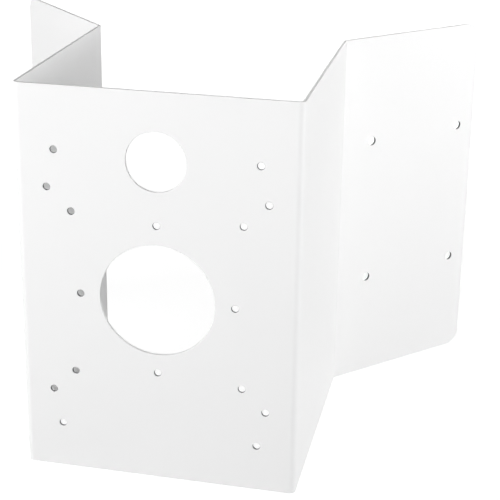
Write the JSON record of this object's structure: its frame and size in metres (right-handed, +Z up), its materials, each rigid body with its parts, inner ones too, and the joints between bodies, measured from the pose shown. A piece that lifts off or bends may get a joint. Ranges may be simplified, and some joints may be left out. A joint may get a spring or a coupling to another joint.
{
  "type": "camera corner mount bracket",
  "caption": "Folded white sheet bracket that fixes a camera to a building's outside corner: flat drilled front plate, side webs and angled wall wings.",
  "frame": {"origin": "bottom centre of the bracket's box, on the plane of symmetry", "axes": "+X to the right of someone who faces the front plate, +Y back towards the building, +Z up"},
  "size_m": [0.3326, 0.2378, 0.245],
  "materials": {
    "powder_coated_sheet": "white powder coat with a fine, slightly uneven satin surface"
  },
  "bodies": {
    "root": {"bracket": "powder_coated_sheet"}
  },
  "joints": []
}
